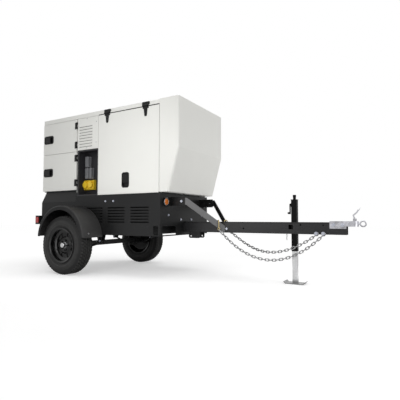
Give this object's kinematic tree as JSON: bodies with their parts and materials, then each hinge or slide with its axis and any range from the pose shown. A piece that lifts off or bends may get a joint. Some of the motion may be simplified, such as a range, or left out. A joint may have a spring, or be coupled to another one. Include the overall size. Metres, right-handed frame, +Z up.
{
  "type": "towable diesel generator",
  "caption": "Towable diesel generator: white sound-proofed enclosure with doors and outlets, on a black road trailer with fenders, screw jack, ball coupler and safety chains.",
  "frame": {"origin": "on the ground under the middle of the overall box", "axes": "+X towards the hitch, +Y to the trailer's left, +Z up"},
  "size_m": [4.013, 1.676, 2.0519],
  "materials": {
    "white_paint": "semi-gloss powder coat",
    "black_paint": "semi-gloss powder coat",
    "rim_black": "satin paint",
    "tyre_rubber": "matt rubber",
    "zinc": "bright zinc plate",
    "yellow_zinc": "yellow zinc plate",
    "black_plastic": "matt moulded plastic",
    "grey_plastic": "satin moulded plastic",
    "yellow_plastic": "satin moulded plastic",
    "red_lens": "clear-coated lens",
    "amber_lens": "clear-coated lens",
    "red_plastic": "gloss moulded plastic",
    "cast_iron": "painted casting",
    "aluminium": "dark fins",
    "muffler_steel": "heat-dulled steel"
  },
  "bodies": {
    "trailer": {"main_frame": "black_paint", "tongue": "black_paint", "tongue_braces": "black_paint", "skirt_panels": "black_paint", "skirt_front": "black_paint", "floor_deck": "black_paint", "fuel_tank": "black_plastic", "roof_cap": "white_paint", "enclosure_posts": "white_paint", "front_hood": "white_paint", "rear_wall": "white_paint", "vent_panels": "white_paint", "receptacle_box": "black_plastic", "duplex_outlets": "grey_plastic", "twist_lock_sockets": "yellow_plastic", "control_panel": "grey_plastic", "engine": "cast_iron", "alternator": "cast_iron", "radiator": "aluminium", "muffler": "muffler_steel", "air_cleaner": "black_plastic", "battery": "black_plastic", "fenders": "black_paint", "lamp_housings": "black_plastic", "tail_lamp_lenses": "red_lens", "marker_lamp_lenses": "amber_lens", "coupler_body": "zinc", "jack_tube": "black_paint", "safety_chains": "zinc", "chain_hooks": "yellow_zinc", "frame_bolts": "zinc", "fixed_hinge_leaves": "black_plastic", "leaf_springs": "black_paint"},
    "axle": {"axle_beam": "black_paint"},
    "wheel_right": {"tyre_right": "tyre_rubber", "rim_right": "rim_black", "hub_right": "zinc"},
    "wheel_left": {"tyre_left": "tyre_rubber", "rim_left": "rim_black", "hub_left": "zinc"},
    "jack_leg_body": {"jack_leg": "zinc"},
    "jack_crank_body": {"jack_crank": "black_paint"},
    "latch_body": {"coupler_latch": "zinc"},
    "main_door_right_body": {"main_door_right": "white_paint", "main_door_right_fittings": "black_plastic"},
    "main_paddle_right_body": {"main_paddle_right": "black_plastic"},
    "main_door_left_body": {"main_door_left": "white_paint", "main_door_left_fittings": "black_plastic"},
    "main_paddle_left_body": {"main_paddle_left": "black_plastic"},
    "upper_door_body": {"upper_door": "white_paint", "upper_door_fittings": "black_plastic"},
    "upper_paddle_body": {"upper_paddle": "black_plastic"},
    "lower_door_body": {"lower_door": "white_paint", "lower_door_fittings": "black_plastic"},
    "lower_paddle_body": {"lower_paddle": "black_plastic"},
    "lid_front_body": {"socket_lid_front": "yellow_plastic"},
    "lid_rear_body": {"socket_lid_rear": "yellow_plastic"},
    "fan_body": {"fan": "black_plastic"},
    "stop_button_body": {"stop_button": "red_plastic"}
  },
  "joints": [
    {"name": "axle_travel", "type": "slide", "parent": "trailer", "child": "axle", "axis": [0, 0, 1], "range_m": [-0.025, 0.025], "stiffness_N_per_m": 200000, "springref_m": -0.047, "deforming": ["leaf_springs"]},
    {"name": "wheel_right_spin", "type": "hinge", "parent": "axle", "child": "wheel_right", "pos_m": [-1.2075, -0.71, 0.345], "axis": [0, 1, 0], "continuous": true},
    {"name": "wheel_left_spin", "type": "hinge", "parent": "axle", "child": "wheel_left", "pos_m": [-1.2075, 0.71, 0.345], "axis": [0, 1, 0], "continuous": true},
    {"name": "jack_crank_turn", "type": "hinge", "parent": "trailer", "child": "jack_crank_body", "pos_m": [1.3315, 0, 0.8], "axis": [1, 0, 0], "range_deg": [-4801, 12001]},
    {"name": "jack_leg_slide", "type": "slide", "parent": "trailer", "child": "jack_leg_body", "axis": [0, 0, 1], "range_m": [-0.08, 0.2]},
    {"name": "coupler_latch_turn", "type": "hinge", "parent": "trailer", "child": "latch_body", "pos_m": [1.9025, 0, 0.649], "axis": [0, -1, 0], "range_deg": [0, 75]},
    {"name": "main_door_right_hinge", "type": "hinge", "parent": "trailer", "child": "main_door_right_body", "pos_m": [-0.4615, -0.5285, 1.9305], "axis": [-1, 0, 0], "range_deg": [0, 85]},
    {"name": "main_paddle_right_hinge", "type": "hinge", "parent": "main_door_right_body", "child": "main_paddle_right_body", "pos_m": [-0.4795, -0.516, 1.163], "axis": [-1, 0, 0], "range_deg": [0, 35], "stiffness_Nm_per_rad": 0.4},
    {"name": "main_door_left_hinge", "type": "hinge", "parent": "trailer", "child": "main_door_left_body", "pos_m": [-0.4615, 0.5285, 1.9305], "axis": [1, 0, 0], "range_deg": [0, 85]},
    {"name": "main_paddle_left_hinge", "type": "hinge", "parent": "main_door_left_body", "child": "main_paddle_left_body", "pos_m": [-0.4795, 0.516, 1.163], "axis": [1, 0, 0], "range_deg": [0, 35], "stiffness_Nm_per_rad": 0.4},
    {"name": "upper_door_hinge", "type": "hinge", "parent": "trailer", "child": "upper_door_body", "pos_m": [-1.2875, -0.5285, 1.71], "axis": [0, 0, 1], "range_deg": [0, 115]},
    {"name": "upper_paddle_hinge", "type": "hinge", "parent": "upper_door_body", "child": "upper_paddle_body", "pos_m": [-1.8755, -0.516, 1.706], "axis": [0, 0, -1], "range_deg": [0, 35], "stiffness_Nm_per_rad": 0.4},
    {"name": "lower_door_hinge", "type": "hinge", "parent": "trailer", "child": "lower_door_body", "pos_m": [-1.2875, -0.5285, 1.26], "axis": [0, 0, 1], "range_deg": [0, 115]},
    {"name": "lower_paddle_hinge", "type": "hinge", "parent": "lower_door_body", "child": "lower_paddle_body", "pos_m": [-1.8755, -0.516, 1.264], "axis": [0, 0, -1], "range_deg": [0, 35], "stiffness_Nm_per_rad": 0.4},
    {"name": "lid_front_hinge", "type": "hinge", "parent": "trailer", "child": "lid_front_body", "pos_m": [-1.1355, -0.428, 1.127], "axis": [-1, 0, 0], "range_deg": [0, 170]},
    {"name": "lid_rear_hinge", "type": "hinge", "parent": "trailer", "child": "lid_rear_body", "pos_m": [-1.2235, -0.428, 1.127], "axis": [-1, 0, 0], "range_deg": [0, 170]},
    {"name": "fan_spin", "type": "hinge", "parent": "trailer", "child": "fan_body", "pos_m": [-0.1675, 0, 1.33], "axis": [1, 0, 0], "continuous": true},
    {"name": "stop_button_press", "type": "slide", "parent": "trailer", "child": "stop_button_body", "axis": [0, 1, 0], "range_m": [0, 0.005], "stiffness_N_per_m": 800}
  ],
  "couplings": [
    {"joint": "jack_crank_turn", "follows": "jack_leg_slide", "rad_per_m": 1047.2}
  ]
}
